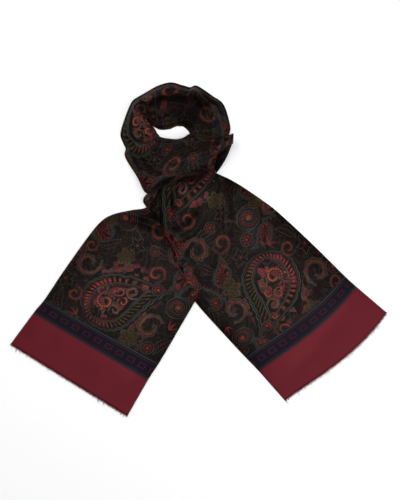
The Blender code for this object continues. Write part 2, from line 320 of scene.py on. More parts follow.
def tear(x, y, bend, fullness):
    """The gap from a bent tear's edge, less than 0 inside it, and the turn round its heart."""
    lean = most(y + 0.1, 0.0)
    bent = x - lean * lean * bend
    rise = worked("MULTIPLY_ADD", y, 0.5, 0.5, clamp=True)
    fall = 1.0 - rise
    half = worked("POWER", rise, 0.5) * fall * fullness
    slope = half * (0.25 / (rise + 0.02) - 0.5 / (fall + 0.02))
    gap = (abs(bent) - half) / worked("SQRT", worked("MULTIPLY_ADD", slope, slope, 1.0))
    return gap, worked("ARCTAN2", bent, y + 0.35)


def drop_masks(x, y):
    """A paisley drop: a bent tear whose line, beads and scalloped filling follow its edge."""
    gap, turn = tear(x, y, 0.62, 1.46)
    scallop = abs(part_of(turn * (9 / math.pi)))
    rays = abs(part_of(turn * (5 / math.pi) + gap * 1.6))
    inside = inked(gap, 0.0, 0.02)
    lines = most(inked(abs(gap), 0.011, 0.02), inked(abs(gap + 0.17), 0.009, 0.018))
    return {
        "cover": inked(gap, 0.04),
        "teal": most(lines, inked(abs(gap + 0.05), 0.007, 0.016)) * 0.9,
        "gold": inked(abs(gap + 0.11), scallop * 0.07 + 0.01) * inside,
        "brick": inked(gap, -0.20) * inked(rays, 0.27, 0.08),
        "flame": inked(abs(gap + 0.27), 0.03) * inked(scallop, 0.22, 0.1),
        "navy": inked(abs(gap + 0.085), 0.03) * 0.8,
    }


def medallion_masks(x, y):
    """The great paisley: scalloped lines round a broad band of lace, and beads inside it."""
    gap, turn = tear(x, y, 0.5, 1.9)
    scallop = abs(part_of(turn * (13 / math.pi)))
    heavy = worked("MULTIPLY_ADD", worked("COSINE", turn - 4.0), 0.7, 0.55, clamp=True)
    edge = gap - scallop * 0.05
    lines = most(inked(abs(edge + 0.03), 0.010, 0.014), inked(abs(edge + 0.075), 0.007, 0.012))
    rings = most(inked(abs(gap + 0.27), 0.009, 0.014), inked(abs(gap + 0.305), 0.006, 0.012))
    band = inked(gap, -0.11) * inked(-0.25 - gap, 0.0)
    waves = abs(part_of(turn * (19 / math.pi) + gap * 3.5))
    bead = distance(part_of(turn * (21 / math.pi)) * 0.07, gap + 0.35)
    leaf = worked("MULTIPLY_ADD", worked("COSINE", turn * 5.0), 0.10, 0.31)
    return {
        "cover": inked(gap, 0.04),
        "open": inked(gap, -0.40),
        "teal": most(lines, rings) * 0.8,
        "brick": most(band * heavy * inked(waves, leaf, 0.14), inked(bead, 0.020, 0.02) * heavy),
        "gold": band * (1.0 - heavy) * inked(waves, 0.2, 0.1) * 0.5,
        "flame": band * heavy * inked(abs(gap + 0.18), 0.022, 0.03) * inked(waves, 0.12, 0.08) * 0.8,
    }


def rosette_masks(x, y):
    """A round flower: eight petals, a flame eye and a fine ring round it."""
    radius, angle = polar(x, y)
    petal = abs(part_of(angle * (4 / math.pi)))
    edge = 0.84 - petal * 0.3
    return {
        "cover": inked(radius, 1.15),
        "brick": inked(abs(radius - edge * 0.78), 0.2) * inked(petal, 0.40, 0.12),
        "teal": inked(abs(radius - 1.04), 0.05, 0.06),
        "flame": inked(radius, 0.24, 0.1),
    }


def posy_masks(x, y):
    """A cluster of small gold blossoms: six round a middle one, each with a dark eye."""
    radius, angle = polar(x, y)
    petal = part_of(angle * (3 / math.pi)) * (radius * 1.05)
    blossom = least(distance(petal, radius - 0.64), radius + 0.02)
    ring = abs(blossom - 0.21)
    return {
        "cover": inked(blossom, 0.36),
        "gold": inked(ring, 0.09, 0.06),
        "brick": inked(blossom, 0.075, 0.06),
        "teal": inked(abs(blossom - 0.345), 0.022, 0.04) * 0.8,
    }


def leaf_masks(x, y):
    """A thin double line round a pointed leaf, with its vein and short ribs."""
    bent = x - y * y * 0.3
    gap = abs(bent) - (1.0 - y * y) * 0.34
    inside = inked(gap, 0.0, 0.03)
    ribs = inked(abs(part_of(y * 4 - abs(bent) * 3)), 0.10, 0.08)
    return {
        "cover": inked(gap, 0.02),
        "teal": most(inked(abs(gap), 0.018), inked(abs(bent), 0.015) * inside),
        "brick": ribs * inked(gap + 0.12, 0.0),
    }


def star_masks(x, y):
    """The outline of a jagged five-fingered leaf round a red heart."""
    radius, angle = polar(x, y)
    finger = abs(part_of(angle * (2.5 / math.pi)))
    notch = abs(part_of(angle * (7.5 / math.pi)))
    edge = finger * 0.95 + notch * 0.22 + 0.3
    return {
        "cover": inked(radius, edge),
        "teal": inked(abs(radius - edge), 0.035, 0.05) * 0.9,
        "brick": inked(radius, edge * 0.40) * inked(abs(part_of(radius * 6)), 0.28, 0.1),
        "gold": inked(radius, 0.12),
    }


def stem_masks(x, y):
    """A long bowed stalk: two fine lines with a row of small red buds along one side."""
    radius = distance(x + 1.6, y)
    aside = radius - 1.6
    within = inked(abs(y), 0.9, 0.1)
    bud = distance(part_of(y * 7) * 0.14, aside - 0.07)
    return {
        "cover": inked(abs(aside), 0.02) * within,
        "teal": inked(abs(abs(aside) - 0.022), 0.009, 0.016) * within * 0.9,
        "brick": inked(bud, 0.032, 0.03) * within,
    }


def sprig_masks(x, y):
    """Three small pointed petals on a common foot, brick edged and flame hearted."""
    angle = worked("ARCTAN2", x, y + 0.8)
    radius = distance(x, y + 0.8)
    petal = abs(part_of(angle * (1.5 / 1.05) + 0.5))
    reach = 1.5 - petal * 2.4 - abs(angle) * 0.25
    fan = inked(abs(angle), 1.0, 0.05)
    return {
        "cover": inked(radius, reach + 0.1) * fan,
        "brick": inked(radius, reach) * fan,
        "flame": inked(radius, reach * 0.6) * inked(abs(part_of(radius * 4)), 0.3, 0.15) * fan,
    }


DRAWN = {
    "stem": stem_masks,
    "leaf": leaf_masks,
    "star": star_masks,
    "drop": drop_masks,
    "whorl": whorl_masks,
    "medallion": medallion_masks,
    "plume": plume_masks,
    "hook": hook_masks,
    "posy": posy_masks,
    "sprig": sprig_masks,
    "rosette": rosette_masks,
}
INKS = {"navy": NAVY, "teal": TEAL, "brick": BRICK, "crimson": CRIMSON, "gold": GOLD, "flame": FLAME}


def vector_math(operation, *values):
    return add_node("ShaderNodeVectorMath", dict(enumerate(values)), operation=operation)


def split_xy(vector):
    outputs = add_node("ShaderNodeSeparateXYZ", {0: vector})
    return Worked(outputs["X"]), Worked(outputs["Y"])


def nearest_place(motifs, cloth):
    """The point in the frame of whichever of these motifs it lies on, where its size is 1."""
    half = Vector((CLOTH_WIDTH / 2, REPEAT_LENGTH / 2, 1))
    chosen = FAR_OFF
    for motif in motifs:
        middle = Vector((motif.x * MM, motif.y * MM, 0))
        mapping = {
            "Vector": vector_math("WRAP", cloth, middle + half, middle - half)["Vector"],
            "Location": middle,
            "Rotation": (0, 0, math.radians(motif.turn)),
            "Scale": (motif.size * MM * motif.flip, motif.size * MM, 1),
        }
        place = add_node("ShaderNodeMapping", mapping, vector_type="TEXTURE")["Vector"]
        near = worked("LESS_THAN", vector_math("LENGTH", place)["Value"], MOTIF_REACH)
        choice = {"Factor": near, 4: chosen, 5: place}
        chosen = add_node("ShaderNodeMix", choice, data_type="VECTOR")[1]
    return split_xy(chosen)


def mixed(below, above, share):
    values = {"Factor": share}
    for socket, colour in ((6, below), (7, above)):
        values[socket] = (*colour, 1) if isinstance(colour, tuple) else colour
    return add_node("ShaderNodeMix", values, data_type="RGBA")[2]


def cells(cloth, pitch, feature, output):
    """Irregular cells about "pitch" metres apart: the distance that "feature" names."""
    values = {"Scale": 1 / pitch, "Vector": cloth}
    return Worked(add_node("ShaderNodeTexVoronoi", values, feature=feature)[output])


def noise(cloth, pitch, output=0):
    values = {"Scale": 1 / pitch, "Detail": 1.0, "Vector": cloth}
    return add_node("ShaderNodeTexNoise", values)[output]


def hand_drawn(cloth):
    """The same place, moved up to a millimetre or two, so that no line is quite regular."""
    shift = (HAND_SHIFT, HAND_SHIFT, 0)
    return vector_math("MULTIPLY_ADD", noise(cloth, HAND_PITCH, 1), shift, cloth)["Vector"]


def print_group():
    """The whole print as one node group: a place on the cloth in, a colour out."""
    tree = bpy.data.node_groups.new("paisley_print", "ShaderNodeTree")
    tree.interface.new_socket("Cloth", in_out="INPUT", socket_type="NodeSocketVector")
    tree.interface.new_socket("Colour", in_out="OUTPUT", socket_type="NodeSocketColor")
    Worked.tree = tree
    cloth = add_node("NodeGroupInput", {})["Cloth"]
    across, along = split_xy(cloth)
    drawn_at = hand_drawn(cloth)
    rich = inked(distance(*nearest_place(RICH_SPOTS, drawn_at)), 0.9, 0.25)
    strength = worked("MULTIPLY_ADD", rich, 0.65, 0.35)
    masks = dict.fromkeys(INKS)
    covers = []
    for kind, draw in DRAWN.items():
        drawn = draw(*nearest_place(MOTIFS[kind], drawn_at))
        covers.append(drawn["cover"] * (1.0 - drawn.get("open", 0.0)))
        clear = 1.0 - drawn["cover"]
        for name in INKS:
            kept = None if masks[name] is None else masks[name] * clear
            added = drawn.get(name)
            if kept is None or added is None:
                masks[name] = added if kept is None else kept
            else:
                masks[name] = most(kept, added)

    lace = inked(cells(cloth, LACE_PITCH, "F1", "Distance"), 0.34, 0.12)
    cracks = inked(cells(cloth, CRACK_PITCH, "DISTANCE_TO_EDGE", "Distance"), 0.08, 0.08)
    fade = worked("MULTIPLY_ADD", Worked(noise(cloth, FADE_PITCH)), 1.7, -0.3, clamp=True)
    dyed = inked(Worked(noise(cloth, DYE_PITCH)), 0.62, 0.08)
    open_lace = 1.0 - cracks * 0.7
    clear = 1.0 - reduce(most, covers)

    winding = abs(part_of(Worked(noise(drawn_at, VINE_PITCH)) * 13))
    vines = most(inked(winding, 0.04, 0.04), inked(abs(winding - 0.15), 0.02, 0.03))
    chosen = cells(drawn_at, FIELD_PITCH, "F1", "Color")
    rim = cells(drawn_at, FIELD_PITCH, "DISTANCE_TO_EDGE", "Distance")
    filled = inked(chosen, 0.48, 0.01) * clear * rich
    block = filled * inked(0.10 - rim, 0.0)
    seeds = inked(cells(cloth, SEED_PITCH, "F1", "Distance"), 0.22, 0.12) * clear
    masks["brick"] = most(masks["brick"] * strength, most(block, seeds * fade * 0.45))
    traces = most(vines * clear * (0.12 + fade * 0.35), filled * inked(abs(rim - 0.06), 0.02, 0.02))
    masks["teal"] = most(masks["teal"], traces)
    masks["flame"] = most(masks["flame"] * strength, masks["brick"] * lace * fade * 0.55)
    masks["brick"] = masks["brick"] * open_lace
    masks["crimson"] = masks["brick"] * dyed
    masks["gold"] = most(masks["gold"] * open_lace * strength, seeds * (1.0 - fade) * 0.25)
    masks["teal"] = masks["teal"] * (0.5 + fade * 0.5) * (0.5 + strength * 0.5)

    colour = GROUND
    for name, ink in INKS.items():
        colour = mixed(colour, ink, masks[name])

    end = least(along, CLOTH_LENGTH - along)
    banded = inked(end, BURGUNDY_DEPTH + GUARD_DEPTH, SEAM_BLUR)
    colour = mixed(colour, guard_colour(across, end), banded)
    colour = mixed(colour, BURGUNDY, inked(end, BURGUNDY_DEPTH, SEAM_BLUR))
    add_node("NodeGroupOutput", {"Colour": colour})
    return tree


def guard_colour(across, end):
    """The guard band: fine dotted lines at both sides, and open groups of ten dots between."""
    group_pitch, dot_pitch, beat_pitch, blur = 0.0262, 0.0044, 0.0042, 0.0004
    middle = end - (BURGUNDY_DEPTH + GUARD_DEPTH / 2)
    edge = abs(middle)
    local = part_of(across / group_pitch) * group_pitch
    reach = abs(local)
    dot = distance(part_of(local / dot_pitch), part_of(middle / dot_pitch + 0.5))
    group = inked(most(reach - 0.0022, edge), 0.0066, blur)
    hollow = inked(most(reach * 0.5, edge), 0.0022, blur)
    dots = inked(dot, 0.30, 0.15) * group * (1.0 - hollow) * 0.55
    beat = inked(abs(part_of(across / beat_pitch)), 0.28, 0.1) * 0.85 + 0.15
    fine = inked(abs(edge - 0.0170), 0.0006, 0.0005) * beat
    faint = inked(abs(edge - 0.0128), 0.0004, blur) * beat * 0.5
    bright = mixed(CRIMSON, TEAL, inked(edge, 0.0022, blur) * 0.7)
    return mixed(mixed(GUARD, bright, dots), TEAL, most(fine, faint))


PAISLEY = print_group()
SILK_ROUGHNESS = 0.42
SILK_GLOSS = 0.046
GLOSS_TINT = (1.0, 0.93, 0.91, 1)
DYED_GLOSS = 0.3
# How far painted shade darkens the colour, and how much of the gloss it takes away.
PAINTED_SHADE_DARKENING = 0.92
PAINTED_SHADE_DULLING = 0.8
TWILL_PITCH = 0.6 * MM
TWILL_SLANT = 0.6
SLUB_SCALE = 900.0
RIB_STRENGTH = 0.12
RIB_HEIGHT = 0.1 * MM


def silk_material(name):
    """Printed silk: the print, a fine twill rib in the bump, and a soft satin gloss that is
    partly the colour of the dye, as light comes back out through the threads. Painted shade,
    given per point on the mesh, darkens the colour and dulls the gloss in creases and hollows."""
    made = bpy.data.materials.new(name)
    made.use_nodes = True
    Worked.tree = made.node_tree
    place = add_node("ShaderNodeUVMap", {}, uv_map="cloth")[0]
    printed = add_node("ShaderNodeGroup", {"Cloth": place}, node_tree=PAISLEY)["Colour"]
    painted_shade = Worked(add_node("ShaderNodeAttribute", {}, attribute_name="painted_shade")["Fac"])
    across, along = split_xy(place)
    rib = worked("SINE", (across + along * TWILL_SLANT) * (TURN / TWILL_PITCH))
    slub = Worked(add_node("ShaderNodeTexNoise", {"Scale": SLUB_SCALE, "Vector": place})[0])
    ribbed = {"Strength": RIB_STRENGTH, "Distance": RIB_HEIGHT, "Height": rib + slub}
    looks = {
        # painted shade: darker colour and duller gloss where the mesh carries it
        "Base Color": mixed(printed, PAINTED_SHADE_COLOUR, painted_shade * PAINTED_SHADE_DARKENING),
        "Normal": add_node("ShaderNodeBump", ribbed)[0],
        "Roughness": SILK_ROUGHNESS,
        "Metallic": DYED_GLOSS,
        "Specular IOR Level": SILK_GLOSS * (1.0 - painted_shade * PAINTED_SHADE_DULLING),
        "Specular Tint": GLOSS_TINT,
    }
    for name, value in looks.items():
        feed(made.node_tree.nodes["Principled BSDF"].inputs[name], value)
    return made


PRINTED_SILK = silk_material("printed_silk")

# ---- The left tail ------------------------------------------------------------------------
# The under tail: a single stretch of the silk oblong, lying flat from its burgundy end up to
# the gathers, where its upper edge rolls over in a long soft lip beside a shallow trough.
SILK_THICKNESS = 0.9
TailRow = namedtuple("TailRow", "left_x left_y right_x right_y bow base over")
Fold = namedtuple("Fold", "from_x from_y to_x to_y bend left right height")
# Where the part's own middle is in these tables, in millimetres.
MIDDLE_X, MIDDLE_Y = -0.42, -1.32
LEFT_TAIL = (
    TailRow(-387, -195, -147, -343, 1, 0, 0),
    TailRow(-339, -130, -104, -268, 1, 0, 0),
    TailRow(-316, -102, -80, -231, 0, 0, 0),
    TailRow(-280, -48, -42, -166, 0, 0, 0),
    TailRow(-231, 21, 0, -92, 0, 0, 0),
    TailRow(-202, 56, 14, -50, 0, 0, 0),
    TailRow(-177, 71, 0, -8, 0, 0, 0),
    TailRow(-138, 80, -30, 22, 0, 0, 0),
    TailRow(-112, 84, -52, 40, 0, 1.0, 1),
    TailRow(-95, 96, -63, 56, 0, 2.2, 1),
)
LEFT_FOLDS = (
    Fold(-172, 76, -76, 50, 6, 8, 6, 6.0),
    Fold(-190, 58, -74, 36, 8, 6, 12, -3.5),
    Fold(-190, 38, -92, 30, 14, 10, 16, 3.4),
    Fold(-205, 24, -100, -14, 16, 16, 24, 2.2),
    Fold(-150, -10, -70, 30, -8, 12, 12, 1.8),
    Fold(-290, -90, -150, 20, 12, 34, 34, 1.6),
    Fold(-250, -170, -110, -60, -14, 36, 36, 1.6),
    Fold(-345, -190, -300, -120, 6, 26, 26, 0.9),
    Fold(-230, -260, -190, -180, -6, 30, 30, 1.2),
    Fold(-160, -310, -120, -240, 5, 20, 16, 1.3),
    Fold(-290, -210, -250, -140, 5, 18, 12, 1.0),
)
# Painted shade on the left tail: the pocket beside the lip, along the right tail's crossing edge, and
# in the shoulder trough.
LEFT_PAINTED_SHADE = (
    Fold(-91, 88, -88, 55, 0, 6, 7, 1.1),
    Fold(-72, 50, 12, -84, 4, 4, 26, 0.7),
    Fold(-183, 59, -74, 33, 8, 4, 8, 0.6),
    Fold(-214, 44, -180, 68, 4, 8, 14, 0.5),
)


def smooth_rows(table, count):
    """The table's columns, read along a smooth curve at "count" places."""
    rows = np.array(table, float)
    padded = np.vstack([2 * rows[0] - rows[1], rows, 2 * rows[-1] - rows[-2]])
    reached = np.linspace(0, len(rows) - 1, count)
    first = np.minimum(reached.astype(int), len(rows) - 2)
    t = (reached - first)[:, None]
    before, start, end, after = (padded[first + step] for step in range(4))
    columns = 0.5 * (
        2 * start
        + (end - before) * t
        + (2 * before - 5 * start + 4 * end - after) * t**2
        + (3 * start - before - 3 * end + after) * t**3
    )
    return type(table[0])(*columns.T)


def eased(value):
    t = np.clip(value, 0, 1)
    return t * t * (3 - 2 * t)


def fold_height(folds, x, y):
    """How far the folds raise the cloth: each has its own width to either side of its line."""
    total = np.zeros_like(x)
    for fold in folds:
        run_x, run_y = fold.to_x - fold.from_x, fold.to_y - fold.from_y
        length = math.hypot(run_x, run_y)
        run_x, run_y = run_x / length, run_y / length
        off_x, off_y = x - fold.from_x, y - fold.from_y
        run = off_x * run_x + off_y * run_y
        t = np.clip(run / length, 0, 1)
        side = off_y * run_x - off_x * run_y - fold.bend * 4 * t * (1 - t)
        width = np.where(side > 0, fold.left, fold.right)
        past = (run - t * length) / max(fold.left, fold.right)
        taper = np.sin(math.pi * (0.12 + 0.76 * t))
        total += fold.height * taper * np.exp(-((side / width) ** 2) - past**2)
    return total


def painted_shade_at(lines, points):
    """How much painted shade each point gets from any of the listed shade lines, from 0 to 1."""
    x, y = points[..., 0] + MIDDLE_X, points[..., 1] + MIDDLE_Y
    darkest = np.zeros_like(x)
    for line in lines:
        darkest = np.maximum(darkest, fold_height((line,), x, y))
    return darkest


def lengths_along(points, axis):
    """Distance run from the first point, along one axis of a grid of points."""
    steps = np.linalg.norm(np.diff(points, axis=axis), axis=-1)
    start = np.zeros_like(np.take(steps, [0], axis=axis))
    return np.concatenate([start, np.cumsum(steps, axis=axis)], axis=axis)


def grid_mesh(name, points, cloth, shade_shares, closed):
    """Silk through a grid of points in millimetres, with its cloth places as a UV map and how
    much painted shade each point gets. A closed grid is capped at both ends."""
    rows, columns = points.shape[:2]
    mesh = bpy.data.meshes.new(name)
    made = bmesh.new()
    layer = made.loops.layers.uv.new("cloth")
    painted_shade = made.verts.layers.float.new("painted_shade")
    verts = [[made.verts.new(Vector(point) * MM) for point in row] for row in points]
    for row, shares in zip(verts, shade_shares):
        for vert, share in zip(row, shares):
            vert[painted_shade] = share
    ring = columns - 1 if closed else columns
    for i in range(rows - 1):
        for j in range(columns - 1):
            k = (j + 1) % ring
            face = made.faces.new((verts[i][j], verts[i][k], verts[i + 1][k], verts[i + 1][j]))
            places = (cloth[i, j], cloth[i, j + 1], cloth[i + 1, j + 1], cloth[i + 1, j])
            for loop, place in zip(face.loops, places):
                loop[layer].uv = place
    if closed:
        for i in (0, rows - 1):
            face = made.faces.new(verts[i][:ring])
            for loop, place in zip(face.loops, cloth[i]):
                loop[layer].uv = place
        bmesh.ops.delete(made, geom=[v for row in verts for v in row[ring:]], context="VERTS")
    bmesh.ops.recalc_face_normals(made, faces=made.faces)
    if not closed and sum(face.normal.z for face in made.faces) < 0:
        bmesh.ops.reverse_faces(made, faces=made.faces)
    made.to_mesh(mesh)
    made.free()
    mesh.shade_smooth()
    mesh.materials.append(PRINTED_SILK)
    made_object = bpy.data.objects.new(name, mesh)
    bpy.context.scene.collection.objects.link(made_object)
    return made_object


MOST_LIFT = 13.0
CLIMB = 28.0
CALM_END, CALM_SIDE = 0.1, 10.0
OFF_TABLE = 0.2
HALF_HIGH = (1, 1, 0.5)


def tail_points(table, folds, puff, rows, columns):
    """The tail's grid in millimetres, and each point's place across and along the cloth."""
    row = smooth_rows(table, rows)
    v = np.linspace(0, 1, columns)[None, :]
    left_x, left_y, right_x, right_y, bow, base, over = (column[:, None] for column in row)
    width = np.hypot(right_x - left_x, right_y - left_y)
    bulge = bow * v**1.5 * (1 - v)
    x = left_x + (right_x - left_x) * v + bulge * (right_y - left_y) / width
    y = left_y + (right_y - left_y) * v - bulge * (right_x - left_x) / width
    held = base * eased(1 + (over - v) * width / CLIMB)
    run = np.linspace(0, 1, rows)[:, None]
    from_left, from_right = v * width, (1 - v) * width
    calm = eased(run / CALM_END + 0.15)
    for inside in (from_left, from_right):
        calm = calm * eased(inside / CALM_SIDE + 0.3)
    lifted = fold_height(folds, x, y) * calm + puff(x, y, from_left, from_right, run)
    lifted = MOST_LIFT * np.tanh(lifted / MOST_LIFT)
    z = held + np.maximum(lifted, 0) + SILK_THICKNESS + OFF_TABLE
    points = np.stack([x - MIDDLE_X, y - MIDDLE_Y, z], axis=-1)
    across = lengths_along(points, 1) * MM
    across += CLOTH_WIDTH / 2 - across[:, -1:] / 2
    middle = points[:, columns // 2 : columns // 2 + 1]
    along = np.broadcast_to(lengths_along(middle, 0) * MM, across.shape)
    return points, across, along


def thicken(piece):
    wall = piece.modifiers.new("wall", "SOLIDIFY")
    wall.thickness = SILK_THICKNESS * MM
    wall.offset = -1


PUFF = 8.0
PUFF_EDGE = 100.0
CROSSING_EDGE = 70.0
CROSSING = ((-60, 40), (10, -80))


def domed(inside, reach=PUFF_EDGE):
    """Rises fastest at the edge, and not at all past "reach" inside it."""
    return 1 - (1 - np.clip(inside / reach, 0, 1)) ** 3


def risen(run):
    """How much of the air there is so far from the cut end."""
    return eased(run / 0.4 + 0.35)


def left_puff(x, y, from_left, from_right, run):
    """The air between the doubled layers: it lifts the middle, and none of it is left where
    the other tail presses on this one."""
    (x0, y0), (x1, y1) = CROSSING
    clear = ((x0 - x) * (y0 - y1) - (y0 - y) * (x0 - x1)) / math.hypot(x1 - x0, y1 - y0)
    sides = domed(from_left) * domed(from_right) * domed(clear, CROSSING_EDGE)
    return PUFF * sides * risen(run)


points, across, along = tail_points(LEFT_TAIL, LEFT_FOLDS, left_puff, rows=190, columns=110)
left_end = points[0] * HALF_HIGH
places = np.stack([across, along], axis=-1)
shade_shares = painted_shade_at(LEFT_PAINTED_SHADE, points)
left_tail = grid_mesh("left_tail_silk", points, places, shade_shares, closed=False)
thicken(left_tail)
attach(left_tail, "root")
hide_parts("left_tail")

# ---- The right tail -----------------------------------------------------------------------
# The upper tail: it comes out gathered from under the front wrap in a roll, a swag and a long
# pleat, crosses over the left tail, and opens flat to its bowed burgundy end.
RIGHT_TAIL = (
    TailRow(176, -311, 385, -130, 72, 0, 0),
    TailRow(122, -250, 322, -76, 60, 0, 0),
    TailRow(95, -222, 298, -54, 54, 0, 0),
    TailRow(53, -177, 230, 13, 34, 0, 0),
    TailRow(-8, -108, 163, 75, 14, 2.0, 0.10),
    TailRow(-35, -60, 132, 99, 6, 2.0, 0.44),
    TailRow(-62, 0, 91, 127, 0, 2.6, 0.56),
    TailRow(-78, 41, 62, 144, 0, 5.6, 0.7),
    TailRow(-81, 80, 46, 151, 0, 5.9, 1),
    TailRow(-80, 115, 34, 158, 0, 5.9, 1.2),
    TailRow(-68, 150, 32, 175, 0, 5.9, 1.2),
)
RIGHT_FOLDS = (
    Fold(-71, 128, -66, 22, -2, 6, 8, 9.0),
    Fold(-22, 140, -26, 62, 0, 20, 22, 7.5),
    Fold(2, 88, -57, 33, 9, 8, 7, -7.0),
    Fold(14, 70, -46, 16, 9, 6, 13, 5.0),
    Fold(20, 146, 36, 40, 4, 12, 12, 4.0),
    Fold(54, 132, 56, 16, -3, 16, 4, 7.0),
    Fold(72, 140, 78, 56, -3, 7, 16, -3.0),
    Fold(-30, 126, 60, 112, 4, 26, 46, 7.0),
    Fold(50, 112, 130, 60, 0, 26, 40, 4.0),
    Fold(34, 60, -30, -26, 10, 16, 16, 3.2),
    Fold(60, 40, 10, -50, 8, 12, 16, 2.4),
    Fold(80, 90, 150, 10, -10, 26, 26, 2.6),
    Fold(70, -20, 190, -120, 14, 34, 34, 2.4),
    Fold(150, 40, 270, -80, -12, 30, 30, 2.0),
    Fold(30, -110, 130, -220, -12, 26, 26, 2.0),
    Fold(250, -200, 300, -130, 8, 30, 30, 2.2),
    Fold(190, -270, 240, -210, 6, 20, 14, 1.4),
    Fold(-50, 20, -24, -50, -6, 8, 12, 2.0),
    Fold(-72, 50, -42, -26, 1, 2.2, 9, 2.0),
    Fold(-58, 40, -36, 0, 0, 1.8, 5, 1.4),
    Fold(74, 118, 150, 56, 4, 26, 30, 3.0),
)
# Painted shade on the right tail: under the front wrap's lower edge, in the slit at the turn, beside
# the roll, in the swag and beside the pleat.
RIGHT_PAINTED_SHADE = (
    Fold(-56, 128, 27, 160, 0, 6, 11, 1.0),
    Fold(22, 156, 62, 196, 0, 8, 12, 1.0),
    Fold(26, 158, 92, 132, 3, 10, 12, 0.85),
    Fold(-56, 124, -53, 72, 0, 5, 6, 1.1),
    Fold(2, 88, -57, 33, 9, 3.5, 3.5, 0.7),
    Fold(67, 128, 72, 56, -3, 4, 9, 0.6),
    Fold(-84, 96, -76, 36, 0, 3, 1.5, 0.6),
)


def right_puff(x, y, from_left, from_right, run):
    """The same air in the upper tail, from its end to where the gathers begin."""
    gathered = eased((0.9 - run) / 0.3)
    return PUFF * domed(from_left) * domed(from_right) * risen(run) * gathered


points, across, along = tail_points(RIGHT_TAIL, RIGHT_FOLDS, right_puff, rows=220, columns=116)
right_end = points[0] * HALF_HIGH
right_reach = float(along[-1, 0])
places = np.stack([CLOTH_WIDTH - across, CLOTH_LENGTH - along], axis=-1)
shade_shares = painted_shade_at(RIGHT_PAINTED_SHADE, points)
right_tail = grid_mesh("right_tail_silk", points, places, shade_shares, closed=False)
thicken(right_tail)
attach(right_tail, "root")
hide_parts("right_tail")

# ---- The stretch round the neck -----------------------------------------------------------
# One gathered stretch: up from the right tail, round the back of the neck, down the left side
# and across the front, where it lies over everything else. Its hidden layers are one rounded
# form, and their folded edges show as stacked lips at both sides.
BandRow = namedtuple(
    "BandRow", "out_x out_y in_x in_y base_out base_in rim mid inner bow", defaults=(0,)
)
NECK = (
    BandRow(32, 175, -68, 150, 5.9, 5.9, 12, 13, 11),
    BandRow(43, 199, -49, 177, 5.9, 5.9, 13, 13.8, 12.5),
    BandRow(56, 221, -33, 199, 5.6, 5.6, 13, 13.8, 12.5),
    BandRow(64, 243, -22, 219, 2.5, 1.5, 13, 14, 12),
    BandRow(62, 264, -19, 233, 0, 0, 14, 16, 13),
    BandRow(50, 298, -21, 241, 0, 0, 15, 16, 12),
    BandRow(28, 315, -25, 245, 0, 0, 17, 13, 10),
    BandRow(-4, 336, -33, 251, 0, 0, 18, 10, 7),
    BandRow(-18, 333, -40, 252, 0, 0, 18, 9, 6),
    BandRow(-34, 337, -47, 252, 0, 0, 17, 8, 5),
    BandRow(-58, 343, -58, 247, 0, 0, 18, 8, 5),
    BandRow(-84, 336, -70, 245, 0, 0, 18, 8, 5),
    BandRow(-111, 321, -80, 245, 0, 0, 18, 8, 5),
    BandRow(-133, 308, -86, 247, 0, 0, 17, 9, 5),
    BandRow(-141, 298, -93, 251, 0, 0, 16, 15, 11),
    BandRow(-153, 268, -90, 246, 0, 0, 15, 17, 13),
    BandRow(-162, 236, -88, 242, 0, 0, 14, 18, 14),
    BandRow(-156, 216, -86, 238, 0, 0, 14, 19, 15),
    BandRow(-151, 206, -84, 236, 0, 0, 14, 19, 15),
    BandRow(-153, 195, -82, 234, 1, 1, 15, 20, 16),
    BandRow(-148, 181, -79, 231, 2, 2, 16, 20, 17),
    BandRow(-127, 148, -71, 228, 8, 6, 19, 23, 20),
    BandRow(-107, 114, -58, 226, 14, 11, 22, 26, 22),
    BandRow(-74, 127, -43, 225, 14.6, 14.3, 24, 27.5, 24),
    BandRow(-39, 139, -30, 229, 14.6, 14.5, 25, 28, 24),
    BandRow(-4, 151, -20, 235, 14.6, 14.6, 25, 28, 23),
    BandRow(25, 164, 2, 237, 14.6, 15.5, 24, 27, 23),
    BandRow(32, 184, 27, 231, 14.6, 15.5, 22, 25, 22),
    BandRow(52, 203, 47, 229, 14.6, 15.5, 20, 22, 20),
    BandRow(70, 216, 71, 237, 12.5, 14.5, 16, 18, 17),
)
NECK_FOLDS = (
    Fold(-23, 334, 19, 254, 9, 8, 5, 5.5),
    Fold(2, 319, 32, 299, 0, 4, 5, -5.5),
    Fold(22, 300, 26, 240, 5, 9, 5, -3.0),
    Fold(-130, 302, -93, 246, 8, 3, 16, 5.0),
    Fold(-124, 309, -112, 291, 2, 3, 3, -2.0),
    Fold(-112, 318, -100, 298, 2, 3, 4, -1.6),
    Fold(-118, 314, -40, 328, -6, 5, 9, 2.4),
    Fold(-104, 284, -34, 288, 8, 10, 12, 2.0),
    Fold(-90, 262, -36, 262, 4, 8, 6, -2.0),
    Fold(-10, 231, 44, 216, 6, 4, 7, -4.0),
    Fold(-24, 238, 44, 224, 6, 3, 3, 1.6),
    Fold(-140, 250, -60, 150, -18, 9, 7, 2.4),
    Fold(-120, 244, -20, 180, -26, 12, 8, 2.0),
    Fold(-80, 140, 20, 176, -6, 6, 9, 2.4),
    Fold(-148, 214, -110, 140, 6, 5, 8, 1.8),
    Fold(-60, 206, 10, 208, 6, 9, 7, -1.6),
    Fold(26, 180, 40, 214, 2, 5, 4, -3.5),
    Fold(36, 186, 56, 212, 2, 3, 4, 2.0),
)
